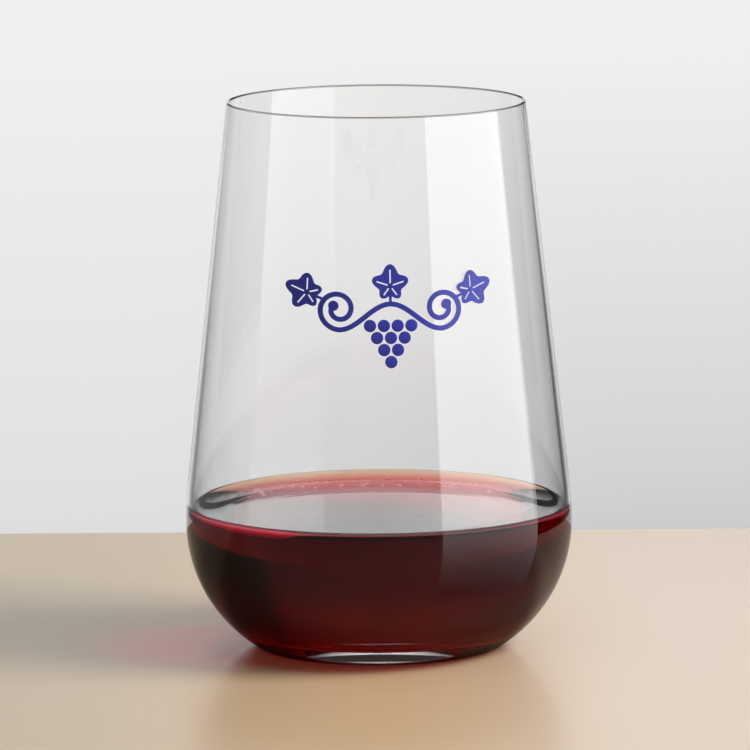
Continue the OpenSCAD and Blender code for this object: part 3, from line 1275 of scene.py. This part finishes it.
@dataclass
class Panel:
    """A flat soft lamp that faces the glass and isn't seen: azimuth from the camera to its right."""

    name: str
    azimuth: float
    distance: float
    height: float
    width: float
    tall: float
    radiance: float
    aim: float = 0.06

    def build(self, view: Viewpoint) -> None:
        """Builds the lamp.

        Args:
            view: The camera that its azimuth is measured from.
        """
        lamp = bpy.data.lights.new(self.name, "AREA")
        lamp.shape = "RECTANGLE"
        lamp.size, lamp.size_y = self.width, self.tall
        lamp.energy = self.radiance * math.pi * self.width * self.tall
        place = view.beside(self.azimuth) * self.distance + Vector((0.0, 0.0, self.height))
        facing = (place - Vector((0.0, 0.0, self.aim))).to_track_quat("Z", "Y")
        panel = placed(self.name, lamp, Matrix.Translation(place) @ facing.to_matrix().to_4x4())
        panel.visible_camera = False
        panel.visible_glossy = False


MIRRORED_LIFT = 0.2


class Seen(Enum):
    """The rays that see a cloth. One seen through glass too is painted brighter in gloss, by MIRRORED_LIFT.
    """

    THROUGH = "through glass and in gloss"
    IN_GLOSS = "in gloss only"
    FROM_ABOVE = "in gloss only, from above"


def cloth_material(seen: Seen) -> Material:
    """Material of the cloths: a plain grey glow that their tone attribute gives, painted light for the glass
    and wine.

    Args:
        seen: The rays that see it. The rest pass.

    Returns:
        The material.
    """
    nodes = MaterialMaker(seen.name.lower() + "_cloth")
    tone = nodes.attribute(TONE)
    depth = nodes.add("ShaderNodeLightPath").outputs["Glossy Depth"]
    share = nodes.math("GREATER_THAN", depth, ONE_BOUNCE)
    if seen is Seen.THROUGH:
        tone = nodes.times(tone, nodes.plus(1.0, nodes.times(share, MIRRORED_LIFT)))
    surface = nodes.add("ShaderNodeEmission", {"Strength": tone}).outputs[0]
    if seen is not Seen.THROUGH:
        if seen is Seen.FROM_ABOVE:
            below = nodes.add("ShaderNodeNewGeometry").outputs["Backfacing"]
            share = nodes.times(share, nodes.minus(1.0, below))
        surface = nodes.blend(share, nodes.add("ShaderNodeBsdfTransparent").outputs[0], surface)
    return nodes.shown(surface)


@dataclass
class Cloth:
    """A grey cloth hung round part of the studio, which only shows in glass and wine. It glows by its tone
    and lights nothing: its tones are painted light, seen in the glass and wine.

    Its tones are the azimuth in degrees, the tone near the floor and the tone higher up, and fade evenly.
    Its rows are a radius, a height and a share of the way from the low tone to the high one, and a share
    past 1 goes on to the tone of the open surroundings. With a wall, an azimuth is that of the ray that a
    wall of that radius mirrors to the camera.
    """

    name: str
    tones: tuple[Column, ...]
    rows: tuple[Column, ...]
    wall: float = 43 * MM
    seen: Seen = Seen.IN_GLOSS
    open_tone: float = 0.84
    steps: int = 10

    def build(self, view: Viewpoint, material: Material) -> Object:
        """Builds the cloth.

        Args:
            view: The camera that its azimuths are measured from.
            material: The material for the rays that see it.

        Returns:
            The cloth.
        """
        shape = bmesh.new()
        mark = shape.verts.layers.float.new(TONE)
        lines = []
        for rad, z, share in self.rows:
            line = []
            for azimuth, low, high in faded(self.tones, self.steps):
                aside = math.degrees(math.asin(self.wall * math.sin(math.radians(azimuth / 2)) / rad))
                vert = shape.verts.new(view.beside(azimuth - aside) * rad + Vector((0.0, 0.0, z)))
                vert[mark] = low + (high - low) * min(share, 1) + (self.open_tone - high) * max(share - 1, 0)
                line.append(vert)
            lines.append(line)
        skin(shape, lines, closed=False)
        cloth = finished(self.name, shape)
        cloth.data.materials.append(material)
        cloth.visible_camera = False
        cloth.visible_diffuse = False
        cloth.visible_shadow = False
        return cloth


LEFT_ROWS = ((0.2, 0.0, 0.0), (0.2, 0.04, 0.0), (0.2, 0.1, 1.0), (0.2, 0.2, 1.0), (0.2, 0.28, 2.0))
FRONT_ROWS = ((0.5, 0.0, 0.0), (0.5, 0.06, 0.0), (0.5, 0.13, 1.0), (0.5, 0.2, 1.0), (0.5, 0.3, 2.0))
BACK_ROWS = (
    (1.3, 0.0, 0.0), (1.3, 0.12, 0.0), (1.3, 0.23, 0.75), (1.3, 0.27, 0.65), (1.3, 0.31, 0.25),
    (1.3, 0.46, 0.25), (1.3, 0.5, 1.0), (1.3, 1.0, 1.0), (1.3, 1.3, 2.0),
)
FACE_ROWS = ((0.45, 0.0, 0.0), (0.45, 0.12, 1.0), (0.45, 1.0, 1.0))
RIGHT_ROWS = ((0.2, 0.0, 0.0), (0.2, 0.06, 0.0), (0.2, 0.13, 1.0), (0.2, 0.2, 1.0), (0.2, 0.28, 2.0))
BAR_ROWS = ((1.25, 0.305, 0.0), (1.25, 0.315, 1.0), (1.25, 0.465, 1.0), (1.25, 0.475, 0.0))
CANOPY_ROWS = ((0.05, 1.3, 1.0), (1.3, 1.3, 1.0))
# Rows of the painted floor sheen.
FLOOR_SHEEN_ROWS = (
    (0.42, 0.001, 1.0), (0.23, 0.001, 0.75), (0.11, 0.001, 0.35), (0.075, 0.001, 0.15), (0.055, 0.001, 0.0),
)


@dataclass
class Studio:
    """Floor, surroundings, lamps and cloths."""

    view: Viewpoint
    floor_drop: float = 0.05 * MM
    floor_half: float = 6.0
    ambient: float = 0.15
    surround: Colour = (236, 236, 236)
    panels: tuple[Panel, ...] = (
        Panel("softbox", 70, 0.75, 0.5, 1.0, 1.0, 1.2, aim=0.5),
        Panel("key", 77, 1.0, 1.0, 0.6, 0.6, 12.2),
        Panel("overhead", 0, 0.0, 1.6, 1.2, 1.2, 0.65),
        Panel("front_fill", -10, 1.6, 0.6, 1.0, 1.0, 1.4),
    )
    cloths: tuple[Cloth, ...] = (
        Cloth("front_cloth", (
            (-104, 0.35, 0.7), (-83, 0.37, 0.65), (-60, 0.4, 0.5), (-37.5, 0.45, 0.6), (-37.4, 0.2, 0.75),
            (-10, 0.35, 0.95), (38, 0.35, 1.0),
        ), FRONT_ROWS),
        Cloth("left_cloth", (
            (-160, 0.3, 0.5), (-145, 0.15, 0.4), (-133, 0.2, 0.44), (-104, 0.2, 0.5),
        ), LEFT_ROWS),
        Cloth("right_cloth", (
            (109, 0.0, 0.35), (137, 0.0, 0.4), (152, 0.1, 0.3), (160, 0.1, 0.3),
        ), RIGHT_ROWS),
        Cloth("back_cloth", (
            (120, 0.03, 0.05), (150, 0.03, 0.08), (160, 0.06, 0.15), (162, 0.25, 0.45), (169, 0.5, 0.95),
            (177, 0.7, 1.35), (180, 0.75, 1.0), (183, 0.75, 1.25), (188, 0.75, 1.2), (200, 0.45, 0.6),
            (215, 0.2, 0.4), (240, 0.2, 0.4),
        ), BACK_ROWS, wall=0.0, seen=Seen.THROUGH),
        # Painted shade: a dark bar behind the glass, seen only in gloss, for the dark middle of the glass's
        # foot.
        Cloth("back_bar", (
            (146, 0.3, 0.1), (156, 0.8, 0.05), (204, 0.8, 0.05), (214, 0.3, 0.1),
        ), BAR_ROWS, wall=0.0),
        Cloth("softbox_face", ((38, 2.2, 2.9), (109, 2.2, 2.9)), FACE_ROWS),
        # Painted reflection: a glowing card on the floor, seen in gloss from above, for the softbox's sheen
        # on the floor.
        Cloth("softbox_floor_sheen", ((38, 0.14, 1.8), (109, 0.14, 1.8)), FLOOR_SHEEN_ROWS, seen=Seen.FROM_ABOVE),
        Cloth("canopy", ((-180, 0.15, 0.15), (180, 0.15, 0.15)), CANOPY_ROWS, wall=0.0, steps=48),
    )

    def build_floor(self) -> Object:
        """Builds the floor.

        Returns:
            The floor.
        """
        shape = bmesh.new()
        half = self.floor_half
        corners = [(-half, -half), (half, -half), (half, half), (-half, half)]
        shape.faces.new([shape.verts.new((x, y, -self.floor_drop)) for x, y in corners])
        floor = finished("floor", shape)
        floor.data.materials.append(FloorFinish(turn=self.view.turn).material())
        return floor

    def build_world(self) -> None:
        """Makes the surroundings: pale where they are seen, and a plain even light on the object."""
        world = bpy.data.worlds.new("surroundings")
        world.use_nodes = True
        world.node_tree.nodes.clear()
        nodes = NodeMaker(world.node_tree)
        light = nodes.add("ShaderNodeBackground", {"Color": srgb(WHITE), "Strength": self.ambient})
        pale = nodes.add("ShaderNodeBackground", {"Color": srgb(self.surround), "Strength": 1.0})
        mixed = nodes.blend(nodes.seen_as_written(), light.outputs[0], pale.outputs[0])
        nodes.add("ShaderNodeOutputWorld", {"Surface": mixed})
        bpy.context.scene.world = world

    def build(self) -> list[Object]:
        """Builds the studio.

        Returns:
            The floor and the cloths.
        """
        self.build_world()
        for panel in self.panels:
            panel.build(self.view)
        bpy.context.scene.view_settings.view_transform = "Standard"
        greys = {seen: cloth_material(seen) for seen in Seen}
        return [self.build_floor()] + [cloth.build(self.view, greys[cloth.seen]) for cloth in self.cloths]


def report(pieces: list[Object]) -> None:
    """Logs how many faces each piece has."""
    for piece in pieces:
        log.info("%s: %d faces", piece.name, len(piece.data.polygons))


def main() -> None:
    """Builds the camera, the studio and the three sub-assemblies, sized by the object's box."""
    logging.basicConfig(level=logging.INFO)
    view = Viewpoint()
    view.build()
    report(Studio(view).build())
    glass_low, glass_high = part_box("glass")
    wine_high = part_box("wine")[1]
    shape = BowlShape(height=glass_high.z, bowl_rad=(glass_high.x - glass_low.x) / 2)
    report(Tumbler(shape, wine_top=wine_high.z).build())
    pour = Pour(shape, top_z=wine_high.z)
    report(pour.build())
    report(PaintedEdgeBand(shape, wine_high.z, front=-view.turn).build())
    report(Bubbles(shape.wall_rad(wine_high.z, inside=True), pour.level).build())
    report(Vine(shape).build())


if __name__ == "__main__":
    main()
